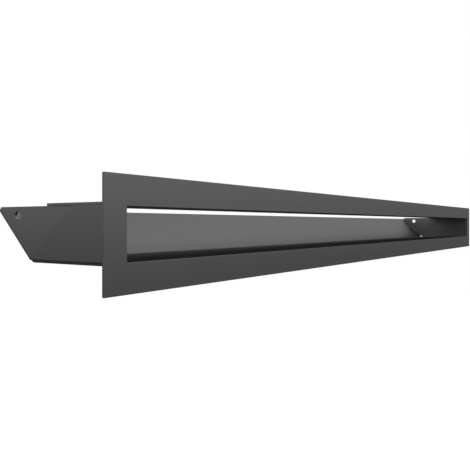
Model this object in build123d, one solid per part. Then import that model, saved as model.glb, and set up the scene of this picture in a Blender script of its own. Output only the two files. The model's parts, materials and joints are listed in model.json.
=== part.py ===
from build123d import *
import os
from math import cos, radians, sin, tan

# Slot grille for warm air, made of cut, folded and powder-coated sheet steel.
# A flat faceplate with one long slot covers the hole in a wall or hood. Behind the slot is a channel:
# a flat top wall, and a folded tray whose rear wall leans back and turns the rising air forward.
# Origin: centre of the slot, in the plane of the faceplate's back face.
# +X runs along the slot, +Y into the wall, +Z up. All sizes are in millimetres.

# Faceplate
face_length = 800.0
face_height = 60.0
face_sheet = 1.2
face_border = 16.0
face_corner_radius = 0.6
window_corner_radius = 0.4
face_edge_radius = 0.25

# Channel behind the slot
channel_sheet = 1.5
window_setback = 1.0
top_wall_depth = 56.0
floor_depth = 70.5
deflector_angle = 45.0
lip_below_cheek_top = 2.4
fold_inner_radius = 0.7

# Cheeks: at each end a front tab and a rear ear meet in one plane
seam_gap = 0.2
corner_relief_radius = 1.7
ear_back_setback = 2.8

# Fixing hole in each ear
fixing_hole_diameter = 5.2
fixing_hole_from_back = 15.5
fixing_hole_from_top = 5.2

# Outlines of the slot and of the channel, from the sizes above
window_length = face_length - 2 * face_border
window_height = face_height - 2 * face_border
inner_half_length = window_length / 2 + window_setback
inner_half_height = window_height / 2 + window_setback
outer_half_length = inner_half_length + channel_sheet
outer_half_height = inner_half_height + channel_sheet
fold_outer_radius = fold_inner_radius + channel_sheet

# Cross-section of the tray as (y, z): the heel is its lower rear corner, the lip its upper rear edge
lean = radians(deflector_angle)
up_the_deflector = Vector(cos(lean), sin(lean))
into_the_channel = Vector(-sin(lean), cos(lean))
heel = Vector(floor_depth, -outer_half_height)
deflector_rise = inner_half_height - lip_below_cheek_top - heel.Y
lip = heel + up_the_deflector * (deflector_rise / sin(lean))
inner_heel = heel + Vector(-channel_sheet * tan(lean / 2), channel_sheet)
inner_lip = lip + into_the_channel * channel_sheet
ear_back = lip.X - ear_back_setback


def upright_plate(length, height, corner_radius):
    """A flat sheet with rounded corners that stands on edge, its back face in the plane of the origin."""
    outline = RectangleRounded(length, height, corner_radius)
    return extrude(Plane.XZ * outline, amount=face_sheet)


def part_back_face(frame):
    """Part the back face along the channel's outline, so the rim that lies on the wall is its own face."""
    from_the_front = frame.faces().sort_by(Axis.Y)
    back = from_the_front[-1]
    channel_end = Plane.XZ * Rectangle(2 * outer_half_length, 2 * outer_half_height)
    seat = back & channel_end
    rim = back - channel_end
    return Solid(Shell(from_the_front[:-1] + seat.faces() + rim.faces()))


def make_faceplate():
    """The visible frame round the slot, with its front edges rounded."""
    sheet = upright_plate(face_length, face_height, face_corner_radius)
    window = upright_plate(window_length, window_height, window_corner_radius)
    frame = sheet - window
    front_edges = frame.faces().sort_by(Axis.Y)[0].edges()
    return part_back_face(fillet(front_edges, face_edge_radius).solid())


def make_top_wall():
    """The flat strip that lies on the cheeks' upper edges."""
    strip = Box(2 * outer_half_length, top_wall_depth, channel_sheet)
    return Pos(0, top_wall_depth / 2, inner_half_height + channel_sheet / 2) * strip


def tray_cross_section():
    """Floor and deflector as one bent strip, in the plane across X."""
    outside = FilletPolyline((0, heel.Y), heel, lip, radius=fold_outer_radius)
    inside = FilletPolyline((0, inner_heel.Y), inner_heel, inner_lip, radius=fold_inner_radius)
    lip_edge = Line(outside @ 1, inside @ 1)
    front_edge = Line(inside @ 0, outside @ 0)
    return Plane.YZ * make_face(outside + lip_edge + inside + front_edge)


def cheek_fold(start, direction, length):
    """A quarter turn of the sheet, from a wall of the tray up into the right-hand cheek.

    start is the outer corner of the fold as (y, z), and direction runs along it, away from the front.
    """
    ring = Circle(fold_outer_radius) - Circle(fold_inner_radius)
    quarter = Rectangle(fold_outer_radius, fold_outer_radius, align=(Align.MAX, Align.MAX))
    section = Pos(fold_outer_radius, fold_outer_radius) * (ring & quarter)
    across = Plane(
        origin=(outer_half_length, start.X, start.Y),
        x_dir=(-1, 0, 0),
        z_dir=(0, direction.X, direction.Y),
    )
    return extrude(across * section, amount=length)


def cheek_panel(*corners):
    """The flat of the right-hand cheek inside the given (y, z) corners."""
    outline = Plane.YZ * make_face(Polyline(*corners, close=True))
    return Pos(inner_half_length, 0, 0) * extrude(outline, amount=channel_sheet)


def along_seam(height, side):
    """The point of the seam at a height, on its front (-1) or rear (+1) edge."""
    edge = heel + up_the_deflector * (side * seam_gap / 2)
    return edge + into_the_channel * ((height - edge.Y) / into_the_channel.Y)


def front_tab():
    """The right-hand tab, folded up from the floor, with its rear edge cut along the seam."""
    fold_top = -outer_half_height + fold_outer_radius
    panel = cheek_panel(
        (0, fold_top),
        along_seam(fold_top, -1),
        along_seam(inner_half_height, -1),
        (0, inner_half_height),
    )
    return panel + cheek_fold(Vector(0, heel.Y), Vector(1, 0), floor_depth - corner_relief_radius)


def rear_ear():
    """The right-hand ear, folded in from the deflector, with its fixing hole."""
    fold_start = heel + up_the_deflector * corner_relief_radius
    fold_length = (lip - fold_start).length
    foot = heel + into_the_channel * fold_outer_radius + up_the_deflector * (seam_gap / 2)
    back_foot = foot + up_the_deflector * ((ear_back - foot.X) / up_the_deflector.X)
    panel = cheek_panel(
        foot,
        back_foot,
        (ear_back, inner_half_height),
        along_seam(inner_half_height, 1),
    )
    hole = Cylinder(fixing_hole_diameter / 2, 2 * channel_sheet, rotation=(0, 90, 0))
    hole_place = Pos(
        inner_half_length + channel_sheet / 2,
        ear_back - fixing_hole_from_back,
        inner_half_height - fixing_hole_from_top,
    )
    return panel + cheek_fold(fold_start, up_the_deflector, fold_length) - hole_place * hole


def corner_relief():
    """The round notch where the three folds of the right-hand end meet, centred in the sheet."""
    half_of_fold = radians(90 / 2)
    middle_radius = (fold_inner_radius + fold_outer_radius) / 2
    inset = fold_outer_radius - middle_radius * cos(half_of_fold)
    ball = Sphere(corner_relief_radius)
    return Pos(outer_half_length - inset, heel.X - inset, heel.Y + inset) * ball


def make_deflector_tray():
    """One folded sheet: floor, leaning rear wall, and a tab and an ear at each end."""
    flat_half_length = outer_half_length - fold_outer_radius
    trough = extrude(tray_cross_section(), amount=flat_half_length, both=True)
    cheek = front_tab() + rear_ear()
    relief = corner_relief()
    tray = trough + cheek + mirror(cheek, about=Plane.YZ)
    return tray - relief - mirror(relief, about=Plane.YZ)


os.makedirs("parts", exist_ok=True)
export_step(make_faceplate(), "parts/faceplate.step")
export_step(make_top_wall(), "parts/top_wall.step")
export_step(make_deflector_tray(), "parts/deflector_tray.step")
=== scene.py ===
"""Warm-air slot grille of dark grey powder-coated sheet steel, dressed and lit in its own frame.

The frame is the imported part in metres: +X along the slot, +Y into the wall, +Z up, with the origin at
the centre of the slot in the plane of the faceplate's back face.
"""

import json
import logging
import math
from dataclasses import dataclass, field
from enum import Enum
from typing import Any, Iterable

import bmesh
import bpy
from mathutils import Matrix, Vector


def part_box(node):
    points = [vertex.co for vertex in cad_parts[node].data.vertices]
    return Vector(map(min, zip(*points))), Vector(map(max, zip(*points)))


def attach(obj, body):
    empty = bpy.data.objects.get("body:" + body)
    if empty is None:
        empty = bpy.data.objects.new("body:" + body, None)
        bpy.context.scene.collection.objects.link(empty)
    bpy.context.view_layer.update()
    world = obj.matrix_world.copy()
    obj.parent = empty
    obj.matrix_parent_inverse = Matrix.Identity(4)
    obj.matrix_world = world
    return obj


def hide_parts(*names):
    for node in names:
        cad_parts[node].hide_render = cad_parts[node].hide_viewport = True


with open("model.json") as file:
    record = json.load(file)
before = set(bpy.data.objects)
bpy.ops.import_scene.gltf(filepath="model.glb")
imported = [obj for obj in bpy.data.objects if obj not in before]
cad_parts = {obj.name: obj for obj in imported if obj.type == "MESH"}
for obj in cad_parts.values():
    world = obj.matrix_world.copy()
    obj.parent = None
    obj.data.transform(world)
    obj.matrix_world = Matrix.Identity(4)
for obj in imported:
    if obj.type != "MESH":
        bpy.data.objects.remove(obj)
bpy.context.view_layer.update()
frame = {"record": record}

log = logging.getLogger("slot_grille")

MM = 0.001
# Points nearer to each other than this are one point.
TOUCH = 0.001 * MM
PHOTO_SIDE = 470
SENSOR_WIDTH = 36.0
BODY = "root"
QUARTER_TURN = math.radians(90)
# Faces that meet at more than this angle meet in a sharp edge.
SHARP_ANGLE = math.radians(40)
# Half the side of a grid that is one metre wide, so a scale gives its size.
HALF_METRE = 0.5


class Rays(Enum):
    """The kinds of ray that see the white background."""

    CAMERA = "Is Camera Ray"
    GLOSSY = "Is Glossy Ray"
    THROUGH = "Is Transmission Ray"


class Wire:
    """A shader socket that takes part in Python arithmetic."""

    def __init__(self, graph: "Graph", socket: bpy.types.NodeSocket) -> None:
        """Keep the socket and the graph it belongs to.

        Args:
            graph: The node graph that new Math nodes go into.
            socket: The output socket that carries the value.
        """
        self.graph = graph
        self.socket = socket

    def _math(self, operation: str, first: Any, second: Any) -> "Wire":
        """Add one Math node.

        Args:
            operation: The node's operation, such as ADD.
            first: Its first value or wire.
            second: Its second value or wire.

        Returns:
            The node's result.
        """
        return self.graph.node("ShaderNodeMath", {"operation": operation}, {0: first, 1: second})

    def __add__(self, other: Any) -> "Wire":
        """Return self + other."""
        return self._math("ADD", self, other)

    def __sub__(self, other: Any) -> "Wire":
        """Return self - other."""
        return self._math("SUBTRACT", self, other)

    def __rsub__(self, other: Any) -> "Wire":
        """Return other - self."""
        return self._math("SUBTRACT", other, self)

    def __mul__(self, other: Any) -> "Wire":
        """Return self * other."""
        return self._math("MULTIPLY", self, other)

    __radd__ = __add__
    __rmul__ = __mul__


class Graph:
    """The node tree of one material or world."""

    def __init__(self, owner: bpy.types.Material | bpy.types.World) -> None:
        """Start from an empty tree.

        Args:
            owner: The material or world whose nodes are built.
        """
        owner.use_nodes = True
        self.tree = owner.node_tree
        self.tree.nodes.clear()

    def node(
        self,
        kind: str,
        settings: dict[str, Any] | None = None,
        inputs: dict[str | int, Any] | None = None,
        output: str | int = 0,
    ) -> Wire | None:
        """Add one node.

        Args:
            kind: The node's type, such as ShaderNodeTexNoise.
            settings: Properties that are set before the sockets.
            inputs: Values or wires, by socket name or number.
            output: The output socket to return.

        Returns:
            The chosen output, or None from a node that has no outputs.
        """
        made = self.tree.nodes.new(kind)
        for name, value in (settings or {}).items():
            setattr(made, name, value)
        for name, value in (inputs or {}).items():
            if isinstance(value, Wire):
                self.tree.links.new(value.socket, made.inputs[name])
            else:
                made.inputs[name].default_value = value
        return Wire(self, made.outputs[output]) if len(made.outputs) else None


@dataclass(frozen=True)
class PowderCoat:
    """A baked graphite powder coat on steel: satin and dark grey, with a fine even grain.

    Most of the gloss is the same at every angle, and the rest grows at a flat angle.
    """

    name: str = "powder_coat"
    colour: tuple[float, float, float] = (0.149, 0.149, 0.151)
    colour_drift: float = 0.06
    roughness: float = 0.41
    roughness_drift: float = 0.05
    metallic: float = 1.0
    edge_tint: tuple[float, float, float, float] = (0.45, 0.45, 0.45, 1.0)
    flat_gloss: float = 0.9
    grain_size: float = 0.35 * MM
    grain_detail: float = 3.0
    grain_height: float = 0.004 * MM
    peel_size: float = 2.6 * MM
    peel_detail: float = 1.0
    peel_height: float = 0.003 * MM
    cloud_size: float = 45 * MM
    cloud_detail: float = 2.0

    def material(self) -> bpy.types.Material:
        """Build the coat's material.

        Returns:
            A material that reads Object coordinates, in metres.
        """
        made = bpy.data.materials.new(self.name)
        graph = Graph(made)
        place = graph.node("ShaderNodeTexCoord", output="Object")
        grain = self._noise(graph, place, self.grain_size, self.grain_detail)
        peel = self._noise(graph, place, self.peel_size, self.peel_detail)
        cloud = self._noise(graph, place, self.cloud_size, self.cloud_detail)
        # Each pattern averages a half, so this drifts about zero.
        drift = cloud + grain - 1.0
        colour = graph.node(
            "ShaderNodeVectorMath",
            {"operation": "SCALE"},
            {0: self.colour, "Scale": drift * self.colour_drift + 1.0},
        )
        roughness = drift * self.roughness_drift + self.roughness
        height = grain * self.grain_height + peel * self.peel_height
        bump = graph.node("ShaderNodeBump", {}, {"Strength": 1.0, "Distance": 1.0, "Height": height})
        coat = graph.node(
            "ShaderNodeBsdfPrincipled",
            {},
            {
                "Base Color": colour,
                "Metallic": self.metallic,
                "Roughness": roughness,
                "Specular Tint": self.edge_tint,
                "Normal": bump,
            },
        )
        gloss = graph.node(
            "ShaderNodeBsdfAnisotropic",
            {},
            {"Color": (*self.colour, 1.0), "Roughness": roughness, "Normal": bump},
        )
        surface = graph.node("ShaderNodeMixShader", {}, {0: self.flat_gloss, 1: coat, 2: gloss})
        graph.node("ShaderNodeOutputMaterial", {}, {"Surface": surface})
        return made

    def _noise(self, graph: Graph, place: Wire, size: float, detail: float) -> Wire:
        """Add a noise pattern.

        Args:
            graph: The material's graph.
            place: The coordinates that the pattern follows.
            size: The size of its grains, in metres.
            detail: How many finer layers it has.

        Returns:
            Its value, from 0 to 1.
        """
        return graph.node(
            "ShaderNodeTexNoise", {}, {"Vector": place, "Scale": 1 / size, "Detail": detail}
        )


def once(items: Iterable[Any]) -> list[Any]:
    """List items in their order, without repeats."""
    return list(dict.fromkeys(items))


def settle(piece: bpy.types.Object) -> None:
    """Apply every modifier of a piece to its mesh.

    Args:
        piece: The object whose modifiers are applied and removed.
    """
    bpy.context.view_layer.update()
    old = piece.data
    name = old.name
    evaluated = piece.evaluated_get(bpy.context.evaluated_depsgraph_get())
    piece.data = bpy.data.meshes.new_from_object(evaluated)
    piece.modifiers.clear()
    bpy.data.meshes.remove(old)
    piece.data.name = name


def cut_away(piece: bpy.types.Object, cutter: bmesh.types.BMesh) -> None:
    """Take a closed shape out of a piece.

    Args:
        piece: The object that is cut.
        cutter: The shape that is taken out, which is freed.
    """
    mesh = bpy.data.meshes.new("cutter")
    cutter.to_mesh(mesh)
    cutter.free()
    tool = bpy.data.objects.new("cutter", mesh)
    bpy.context.scene.collection.objects.link(tool)
    cut = piece.modifiers.new("cut", "BOOLEAN")
    cut.operation = "DIFFERENCE"
    cut.solver = "EXACT"
    cut.object = tool
    settle(piece)
    bpy.data.objects.remove(tool)
    bpy.data.meshes.remove(mesh)


@dataclass
class SheetPiece:
    """A piece of coated sheet steel that stands for the CAD node of the same name."""

    name: str
    edge_radius: float = 0.12 * MM
    edge_segments: int = 3
    flat_weight: int = 100

    def shape(self) -> bmesh.types.BMesh:
        """Return the piece's mesh in place, in metres."""
        raise NotImplementedError

    def finish(self, piece: bpy.types.Object) -> None:
        """Add what modifiers give the piece, which is nothing on a plain sheet."""

    def make(self, coat: bpy.types.Material) -> bpy.types.Object:
        """Make the piece, coat it and hang it on the frame.

        Args:
            coat: The finish that covers it.

        Returns:
            The finished object, which stands for its CAD node.
        """
        mesh = bpy.data.meshes.new(self.name)
        shape = self.shape()
        shape.to_mesh(mesh)
        shape.free()
        piece = bpy.data.objects.new(f"coated_{self.name}", mesh)
        bpy.context.scene.collection.objects.link(piece)
        self.finish(piece)
        self._smooth(piece)
        piece.data.materials.clear()
        piece.data.materials.append(coat)
        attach(piece, BODY)
        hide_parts(self.name)
        return piece

    def _smooth(self, piece: bpy.types.Object) -> None:
        """Shade the rounded edges smoothly and keep the flats flat.

        Args:
            piece: The object that is shaded.
        """
        piece.data.shade_smooth()
        piece.data.set_sharp_from_angle(angle=SHARP_ANGLE)
        weighted = piece.modifiers.new("flat_faces", "WEIGHTED_NORMAL")
        weighted.weight = self.flat_weight
        weighted.keep_sharp = True
        settle(piece)


@dataclass
class Faceplate(SheetPiece):
    """The flat frame that is seen on the wall, with a long slot and softened front edges."""

    name: str = "faceplate"
    window_half_length: float = 384 * MM
    window_half_height: float = 14 * MM
    corner_radius: float = 0.6 * MM
    window_corner_radius: float = 0.4 * MM
    corner_segments: int = 8
    front_edge_radius: float = 0.25 * MM
    front_edge_segments: int = 5

    def shape(self) -> bmesh.types.BMesh:
        """Bridge two rounded outlines, thicken the ring and round its edges.

        Returns:
            The faceplate's mesh.
        """
        low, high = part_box(self.name)
        shape = bmesh.new()
        window = (self.window_half_length, self.window_half_height)
        self._outline(shape, (high.x, high.z), self.corner_radius)
        self._outline(shape, window, self.window_corner_radius)
        bmesh.ops.bridge_loops(shape, edges=shape.edges[:])
        bmesh.ops.rotate(shape, verts=shape.verts, matrix=Matrix.Rotation(QUARTER_TURN, 3, "X"))
        bmesh.ops.translate(shape, verts=shape.verts, vec=(0, low.y, 0))
        grown = bmesh.ops.extrude_face_region(shape, geom=shape.faces[:])["geom"]
        back = [v for v in grown if isinstance(v, bmesh.types.BMVert)]
        bmesh.ops.translate(shape, verts=back, vec=(0, high.y - low.y, 0))
        bmesh.ops.recalc_face_normals(shape, faces=shape.faces)
        self._round_rim(shape, low.y, self.front_edge_radius, self.front_edge_segments)
        self._round_rim(shape, high.y, self.edge_radius, self.edge_segments)
        return shape

    def _outline(self, shape: bmesh.types.BMesh, half: tuple[float, float], radius: float) -> None:
        """Add a rounded rectangle's outline to the mesh, lying flat.

        Args:
            shape: The mesh that it goes into.
            half: Half its size along X and along Y.
            radius: The radius of its corners.
        """
        corners = bmesh.ops.create_grid(shape, x_segments=1, y_segments=1, size=1)["verts"]
        bmesh.ops.scale(shape, vec=(*half, 1), verts=corners)
        rounded = bmesh.ops.bevel(
            shape, geom=corners, affect="VERTICES", offset=radius, segments=self.corner_segments,
            profile=0.5, material=-1,
        )
        filled = once(face for vert in rounded["verts"] for face in vert.link_faces)
        bmesh.ops.delete(shape, geom=filled, context="FACES_ONLY")

    def _round_rim(self, shape: bmesh.types.BMesh, depth: float, radius: float, segments: int) -> None:
        """Round the sharp edges in the front or back plane.

        Args:
            shape: The faceplate's mesh.
            depth: The plane's place along Y.
            radius: The radius of the rounding.
            segments: The number of faces across it.
        """
        rim = [
            edge
            for edge in shape.edges
            if all(abs(vert.co.y - depth) < TOUCH for vert in edge.verts)
            and edge.calc_face_angle(0.0) > SHARP_ANGLE
        ]
        bmesh.ops.bevel(
            shape, geom=rim, affect="EDGES", offset=radius, segments=segments, profile=0.5, material=-1
        )


@dataclass
class TopWall(SheetPiece):
    """The flat strip that closes the channel from above."""

    name: str = "top_wall"

    def shape(self) -> bmesh.types.BMesh:
        """Size a block to the strip and break its edges.

        Returns:
            The strip's mesh.
        """
        low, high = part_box(self.name)
        shape = bmesh.new()
        bmesh.ops.create_cube(shape, size=1.0)
        bmesh.ops.scale(shape, vec=high - low, verts=shape.verts)
        bmesh.ops.translate(shape, vec=(low + high) / 2, verts=shape.verts)
        bmesh.ops.bevel(
            shape, geom=shape.edges[:], affect="EDGES", offset=self.edge_radius,
            segments=self.edge_segments, profile=0.5, material=-1,
        )
        return shape


@dataclass
class DeflectorTray(SheetPiece):
    """The folded sheet: floor, leaning deflector, and a tab and an ear at each end."""

    name: str = "deflector_tray"
    edge_radius: float = 0.08 * MM
    sheet: float = 1.5 * MM
    fold_radius: float = 2.2 * MM
    fold_segments: int = 10
    lean: float = math.radians(45)
    lip_below_cheek_top: float = 2.4 * MM
    ear_back_setback: float = 2.8 * MM
    seam_gap: float = 0.1 * MM
    relief_radius: float = 1.7 * MM
    ear_overbend: float = math.radians(1.1)
    round_segments: int = 48
    side: float = field(init=False)
    top: float = field(init=False)
    along: Vector = field(init=False)
    inward: Vector = field(init=False)
    lip: Vector = field(init=False)
    heel: Vector = field(init=False)
    ear_back: float = field(init=False)

    def __post_init__(self) -> None:
        """Read the tray's outline from its box in the frame."""
        low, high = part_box(self.name)
        self.side = high.x
        self.top = high.z
        self.along = Vector((0, math.cos(self.lean), math.sin(self.lean)))
        self.inward = Vector((0, -math.sin(self.lean), math.cos(self.lean)))
        lip_height = self.top - self.lip_below_cheek_top
        self.lip = Vector((0, high.y, lip_height))
        self.heel = self.lip - self.along * ((lip_height - low.z) / math.sin(self.lean))
        self.ear_back = high.y - self.ear_back_setback

    def shape(self) -> bmesh.types.BMesh:
        """Fold the right half's outer skin from a wire, and mirror it.

        Returns:
            The whole tray's outer skin, without its thickness.
        """
        shape = bmesh.new()
        fold_start = self.side - self.fold_radius
        floor, ear, ear_tip = self._profile(shape, fold_start)
        trough = bmesh.ops.extrude_edge_only(shape, edges=shape.edges[:])["geom"]
        middle = [v for v in trough if isinstance(v, bmesh.types.BMVert)]
        bmesh.ops.translate(shape, verts=middle, vec=(-fold_start, 0, 0))
        self._front_tab(shape, floor)
        self._rear_ear(shape, ear, ear_tip)
        half = shape.verts[:] + shape.edges[:] + shape.faces[:]
        bmesh.ops.mirror(shape, geom=half, axis="X", merge_dist=TOUCH)
        bmesh.ops.remove_doubles(shape, verts=shape.verts, dist=TOUCH)
        bmesh.ops.recalc_face_normals(shape, faces=shape.faces)
        floor_face = min(shape.faces, key=lambda face: face.calc_center_median().z)
        if floor_face.normal.z > 0:
            bmesh.ops.reverse_faces(shape, faces=shape.faces)
        return shape

    def _profile(self, shape: bmesh.types.BMesh, side: float) -> list[bmesh.types.BMEdge]:
        """Draw the outer profile of floor and deflector, with a vertex where each fold begins.

        Args:
            shape: The mesh that the wire goes into.
            side: The wire's place along X.

        Returns:
            The edges that the tab, the ear and the ear's tip are folded from.
        """
        tangent = self.fold_radius * math.tan(self.lean / 2)
        tab_end = self._seam_point(self.heel.z + self.fold_radius, -1).y
        bend_start = self.heel.y - tangent
        ear_start = self.heel + self.along * self.relief_radius
        ear_foot = self._inside_deflector(self.ear_back, self.fold_radius)
        ear_end = ear_foot - self.inward * self.fold_radius
        front = shape.verts.new((side, 0, self.heel.z))
        corner, floor = self._draw_to(shape, front, Vector((side, tab_end, self.heel.z)))
        last, _ = self._draw_to(shape, corner, Vector((side, bend_start, self.heel.z)))
        turned = bmesh.ops.spin(
            shape,
            geom=[last],
            cent=(side, bend_start, self.heel.z + self.fold_radius),
            axis=(1, 0, 0),
            angle=self.lean,
            steps=self.fold_segments // 2,
        )["geom_last"]
        last = next(v for v in turned if isinstance(v, bmesh.types.BMVert))
        last, _ = self._draw_to(shape, last, Vector((side, ear_start.y, ear_start.z)))
        last, ear = self._draw_to(shape, last, Vector((side, ear_end.y, ear_end.z)))
        last, ear_tip = self._draw_to(shape, last, Vector((side, self.lip.y, self.lip.z)))
        return [floor, ear, ear_tip]

    def _draw_to(
        self, shape: bmesh.types.BMesh, start: bmesh.types.BMVert, end: Vector
    ) -> tuple[bmesh.types.BMVert, bmesh.types.BMEdge]:
        """Extrude a vertex to a point.

        Args:
            shape: The mesh.
            start: The vertex that the line leaves from.
            end: The point that it reaches.

        Returns:
            The new vertex and edge.
        """
        made = bmesh.ops.extrude_vert_indiv(shape, verts=[start])
        made["verts"][0].co = end
        return made["verts"][0], made["edges"][0]

    def _seam_point(self, height: float, side: int) -> Vector:
        """Find the point of the seam at a height, on its front (-1) or rear (+1) edge."""
        edge = self.heel + self.along * (side * self.seam_gap / 2)
        return edge + self.inward * ((height - edge.z) / self.inward.z)

    def _inside_deflector(self, depth: float, offset: float) -> Vector:
        """Find the point at a depth on the line that lies an offset inside the deflector."""
        start = self.heel + self.inward * offset
        return start + self.along * ((depth - start.y) / self.along.y)

    def _fold_up(
        self, shape: bmesh.types.BMesh, edges: list[bmesh.types.BMEdge], centre: Vector, axis: Vector
    ) -> list[bmesh.types.BMEdge]:
        """Turn edges a quarter round, up into the plane of the cheek.

        Args:
            shape: The mesh.
            edges: The edges along which the sheet is folded.
            centre: A point on the fold's axis.
            axis: The fold's axis.

        Returns:
            The edges at the end of the fold.
        """
        turned = bmesh.ops.spin(
            shape, geom=edges, cent=centre, axis=axis, angle=QUARTER_TURN, steps=self.fold_segments
        )["geom_last"]
        return [e for e in turned if isinstance(e, bmesh.types.BMEdge)]

    def _front_tab(self, shape: bmesh.types.BMesh, edge: bmesh.types.BMEdge) -> None:
        """Fold the tab up from the floor's edge, and cut its rear side along the seam.

        Args:
            shape: The mesh.
            edge: The floor's edge that the tab is folded from.
        """
        axis_point = Vector((self.side - self.fold_radius, 0, self.heel.z + self.fold_radius))
        upper = self._fold_up(shape, [edge], axis_point, Vector((0, -1, 0)))
        raised = bmesh.ops.extrude_edge_only(shape, edges=upper)["geom"]
        for vert in (v for v in raised if isinstance(v, bmesh.types.BMVert)):
            if vert.co.y > TOUCH:
                vert.co.y = self._seam_point(self.top, -1).y
            vert.co.z = self.top

    def _rear_ear(
        self, shape: bmesh.types.BMesh, edge: bmesh.types.BMEdge, tip: bmesh.types.BMEdge
    ) -> None:
        """Fold the ear in from the deflector's edge, and fill its plate round the fixing hole.

        The plate leans in a little, because it is bent past the square.

        Args:
            shape: The mesh.
            edge: The deflector's edge that the ear is folded from.
            tip: The short edge behind it, up to the deflector's lip.
        """
        axis_point = self.heel + self.inward * self.fold_radius
        axis_point.x = self.side - self.fold_radius
        upper = self._fold_up(shape, [edge, tip], axis_point, -self.along)
        first = min((v for e in upper for v in e.verts), key=lambda v: v.co.y)
        base = next(e for e in upper if first in e.verts)
        second = base.other_vert(first)
        foot = self.heel + self.inward * self.fold_radius + self.along * (self.seam_gap / 2)
        corners = (
            (self.side, foot.y, foot.z),
            (self.side, self._seam_point(self.top, 1).y, self.top),
            (self.side, self.ear_back, self.top),
        )
        loop = [first, *(shape.verts.new(corner) for corner in corners), second]
        edges = [shape.edges.new(pair) for pair in zip(loop, loop[1:])]
        hole = self._hole(shape)
        bmesh.ops.triangle_fill(shape, edges=[*edges, base, *hole], use_beauty=True)
        plate = once(vert for edge in [*edges, *hole] for vert in edge.verts)
        overbend = Matrix.Rotation(-self.ear_overbend, 3, self.along)
        bmesh.ops.rotate(shape, verts=plate, cent=axis_point, matrix=overbend)

    def _hole(self, shape: bmesh.types.BMesh) -> list[bmesh.types.BMEdge]:
        """Draw the fixing hole of the right-hand ear.

        Args:
            shape: The mesh.

        Returns:
            The hole's edges.
        """
        mount = next(m for m in frame["record"]["mounts"] if m["name"] == "fixing_hole_right")
        centre = Vector((self.side, mount["pos_m"][1], mount["pos_m"][2]))
        circle = bmesh.ops.create_circle(
            shape,
            segments=self.round_segments,
            radius=mount["dims"]["r_mm"] * MM,
            matrix=Matrix.Translation(centre) @ Matrix.Rotation(QUARTER_TURN, 4, "Y"),
        )["verts"]
        return once(edge for vert in circle for edge in vert.link_edges)

    def finish(self, piece: bpy.types.Object) -> None:
        """Give the skin its thickness, break its edges and cut the corner reliefs.

        Args:
            piece: The tray's object, which holds its outer skin.
        """
        wall = piece.modifiers.new("sheet", "SOLIDIFY")
        wall.thickness = self.sheet
        wall.offset = -1.0
        wall.use_even_offset = True
        edge = piece.modifiers.new("broken_edges", "BEVEL")
        edge.width = self.edge_radius
        edge.segments = self.edge_segments
        edge.limit_method = "ANGLE"
        edge.angle_limit = SHARP_ANGLE
        edge.use_clamp_overlap = False
        settle(piece)
        inset = self.fold_radius - (self.fold_radius - self.sheet / 2) * math.cos(QUARTER_TURN / 2)
        for side in (-1, 1):
            ball = bmesh.new()
            centre = (side * (self.side - inset), self.heel.y - inset, self.heel.z + inset)
            bmesh.ops.create_uvsphere(
                ball, u_segments=self.round_segments, v_segments=self.round_segments // 2,
                radius=self.relief_radius, matrix=Matrix.Translation(centre),
            )
            cut_away(piece, ball)
        self._drop_slivers(piece)

    def _drop_slivers(self, piece: bpy.types.Object) -> None:
        """Remove the faces with no area that the cuts leave.

        Args:
            piece: The tray's object.
        """
        shape = bmesh.new()
        shape.from_mesh(piece.data)
        bmesh.ops.dissolve_degenerate(shape, dist=TOUCH, edges=shape.edges)
        shape.to_mesh(piece.data)
        shape.free()


@dataclass(frozen=True)
class PhotoCamera:
    """The level camera of the photograph, solved from the object's straight edges."""

    place: tuple[float, float, float] = (-599.19 * MM, -203.11 * MM, 5.15 * MM)
    angle_to_slot: float = math.radians(34.72)
    focal_pixels: float = 590.5
    centre_x: float = 215.0
    horizon_y: float = 224.0

    def make(self) -> bpy.types.Object:
        """Create the camera and make it the scene's.

        Returns:
            The camera object.
        """
        data = bpy.data.cameras.new("photo_camera")
        data.sensor_width = SENSOR_WIDTH
        data.lens = self.focal_pixels / PHOTO_SIDE * SENSOR_WIDTH
        data.shift_x = (PHOTO_SIDE / 2 - self.centre_x) / PHOTO_SIDE
        data.shift_y = (self.horizon_y - PHOTO_SIDE / 2) / PHOTO_SIDE
        data.clip_start = 0.01
        data.clip_end = 50.0
        camera = bpy.data.objects.new("photo_camera", data)
        camera.location = self.place
        camera.rotation_euler = (QUARTER_TURN, 0.0, self.angle_to_slot - QUARTER_TURN)
        bpy.context.scene.collection.objects.link(camera)
        bpy.context.scene.camera = camera
        return camera


def towards(azimuth: float, elevation: float, distance: float) -> Vector:
    """Find a point from the origin.

    Args:
        azimuth: Its direction in plan, from +X towards +Y.
        elevation: Its angle above the level.
        distance: Its distance.

    Returns:
        The point, in metres.
    """
    level = math.cos(elevation)
    return distance * Vector(
        (level * math.cos(azimuth), level * math.sin(azimuth), math.sin(elevation))
    )


@dataclass(frozen=True)
class SoftBox:
    """A rectangular area lamp that points at the object. A brightness of 1 is white."""

    name: str
    azimuth: float
    elevation: float
    distance: float
    size: tuple[float, float]
    brightness: float

    def make(self) -> None:
        """Create the lamp, turned towards the origin."""
        place = towards(self.azimuth, self.elevation, self.distance)
        data = bpy.data.lights.new(self.name, "AREA")
        data.shape = "RECTANGLE"
        data.size, data.size_y = self.size
        data.energy = self.brightness * math.pi * data.size * data.size_y
        lamp = bpy.data.objects.new(self.name, data)
        lamp.location = place
        lamp.rotation_euler = (-place).to_track_quat("-Z", "Y").to_euler()
        bpy.context.scene.collection.objects.link(lamp)


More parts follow.
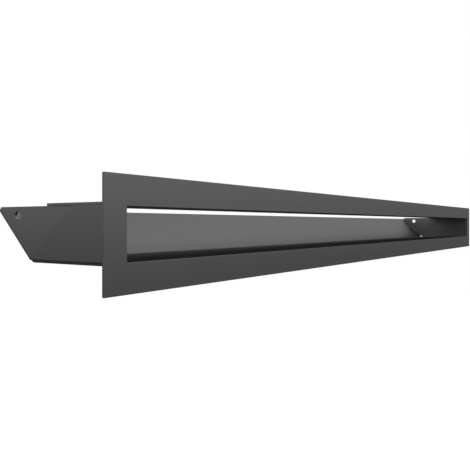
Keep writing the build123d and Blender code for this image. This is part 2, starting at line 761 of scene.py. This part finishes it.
@dataclass(frozen=True)
class StagePanel:
    """A flat panel of the stage, which isn't part of the object."""

    name: str
    width: float
    height: float
    place: Matrix

    def make(self, material: bpy.types.Material) -> bpy.types.Object:
        """Create the panel.

        Args:
            material: What it is covered with.

        Returns:
            The panel's object.
        """
        mesh = bpy.data.meshes.new(self.name)
        shape = bmesh.new()
        bmesh.ops.create_grid(shape, x_segments=1, y_segments=1, size=HALF_METRE)
        bmesh.ops.scale(shape, vec=(self.width, self.height, 1), verts=shape.verts)
        bmesh.ops.transform(shape, matrix=self.place, verts=shape.verts)
        shape.to_mesh(mesh)
        shape.free()
        mesh.materials.append(material)
        panel = bpy.data.objects.new(self.name, mesh)
        bpy.context.scene.collection.objects.link(panel)
        return panel


@dataclass(frozen=True)
class BlackFlag:
    """An upright black panel that only reflections see, to keep the light off one side."""

    name: str
    azimuth: float
    width: float
    bottom: float
    top: float
    distance: float = 4.0

    def make(self, cloth: bpy.types.Material) -> None:
        """Stand the flag so that it faces the object.

        Args:
            cloth: The black material that covers it.
        """
        centre = towards(self.azimuth, 0.0, self.distance)
        centre.z = (self.bottom + self.top) / 2
        stand = Matrix.Rotation(QUARTER_TURN, 4, "X")
        turn = Matrix.Rotation(self.azimuth - QUARTER_TURN, 4, "Z")
        place = Matrix.Translation(centre) @ turn @ stand
        flag = StagePanel(self.name, self.width, self.top - self.bottom, place).make(cloth)
        flag.visible_camera = False
        flag.visible_diffuse = False
        flag.visible_shadow = False
        flag.visible_transmission = False


@dataclass
class Studio:
    """A white room with one key lamp, a pale floor and two black flags.

    Reflections see the room fall off to grey below the level.
    """

    floor_drop: float = 0.6
    floor_side: float = 40.0
    floor_paper: float = 0.8
    low_grey: float = 0.165
    fade_from: float = -0.09
    fade_to: float = 0.082
    boxes: tuple[SoftBox, ...] = (
        SoftBox("key_box", math.radians(-34), math.radians(38), 4.0, (3.4, 2.6), 0.74),
    )
    flags: tuple[BlackFlag, ...] = (
        BlackFlag("rear_flag", math.radians(38), 4.3, 0.5, 4.9),
        BlackFlag("low_flag", math.radians(155), 4.0, -2.5, -0.07),
    )

    def make(self) -> None:
        """Build the world, the floor, the flags and the lamps."""
        self._make_world()
        self._make_floor()
        cloth = self._cloth()
        for flag in self.flags:
            flag.make(cloth)
        for box in self.boxes:
            box.make()

    def _make_world(self) -> None:
        """Make the world white, with a grey lower half for reflections."""
        world = bpy.data.worlds.new("studio")
        graph = Graph(world)
        direction = graph.node("ShaderNodeTexCoord", output="Generated")
        rise = graph.node("ShaderNodeSeparateXYZ", {}, {"Vector": direction}, "Z")
        fall_off = graph.node(
            "ShaderNodeMapRange",
            {"interpolation_type": "SMOOTHSTEP"},
            {
                "Value": rise,
                "From Min": self.fade_from,
                "From Max": self.fade_to,
                "To Min": 1.0 - self.low_grey,
                "To Max": 0.0,
            },
        )
        glossy = graph.node("ShaderNodeLightPath", output=Rays.GLOSSY.value)
        light = graph.node(
            "ShaderNodeBackground", {}, {"Color": (1, 1, 1, 1), "Strength": 1.0 - glossy * fall_off}
        )
        graph.node("ShaderNodeOutputWorld", {}, {"Surface": light})
        world.cycles.sampling_method = "NONE"
        bpy.context.scene.world = world

    def _make_floor(self) -> None:
        """Lay the pale floor, which is topped up to white for the eye and keeps its shadow."""
        material = bpy.data.materials.new("floor_paper")
        graph = Graph(material)
        grey = (self.floor_paper, self.floor_paper, self.floor_paper, 1)
        paper = graph.node("ShaderNodeBsdfDiffuse", {}, {"Color": grey})
        camera, glossy, through = (graph.node("ShaderNodeLightPath", output=ray.value) for ray in Rays)
        strength = (camera + glossy + through) * (1.0 - self.floor_paper)
        white = graph.node("ShaderNodeEmission", {}, {"Color": (1, 1, 1, 1), "Strength": strength})
        both = graph.node("ShaderNodeAddShader", {}, {0: paper, 1: white})
        graph.node("ShaderNodeOutputMaterial", {}, {"Surface": both})
        place = Matrix.Translation((0, 0, -self.floor_drop))
        floor = StagePanel("floor", self.floor_side, self.floor_side, place).make(material)
        floor.visible_glossy = False

    def _cloth(self) -> bpy.types.Material:
        """Make the black cloth of the flags.

        Returns:
            The cloth's material.
        """
        material = bpy.data.materials.new("black_cloth")
        graph = Graph(material)
        cloth = graph.node("ShaderNodeBsdfDiffuse", {}, {"Color": (0, 0, 0, 1)})
        graph.node("ShaderNodeOutputMaterial", {}, {"Surface": cloth})
        return material


def main() -> None:
    """Build and coat the pieces, light them and aim the camera."""
    bpy.context.scene.view_settings.view_transform = "Standard"
    coat = PowderCoat().material()
    for sheet in (Faceplate(), TopWall(), DeflectorTray()):
        piece = sheet.make(coat)
        log.info("%s: %d faces", piece.name, len(piece.data.polygons))
    Studio().make()
    PhotoCamera().make()


if __name__ == "__main__":
    logging.basicConfig(level=logging.INFO, format="%(message)s")
    main()
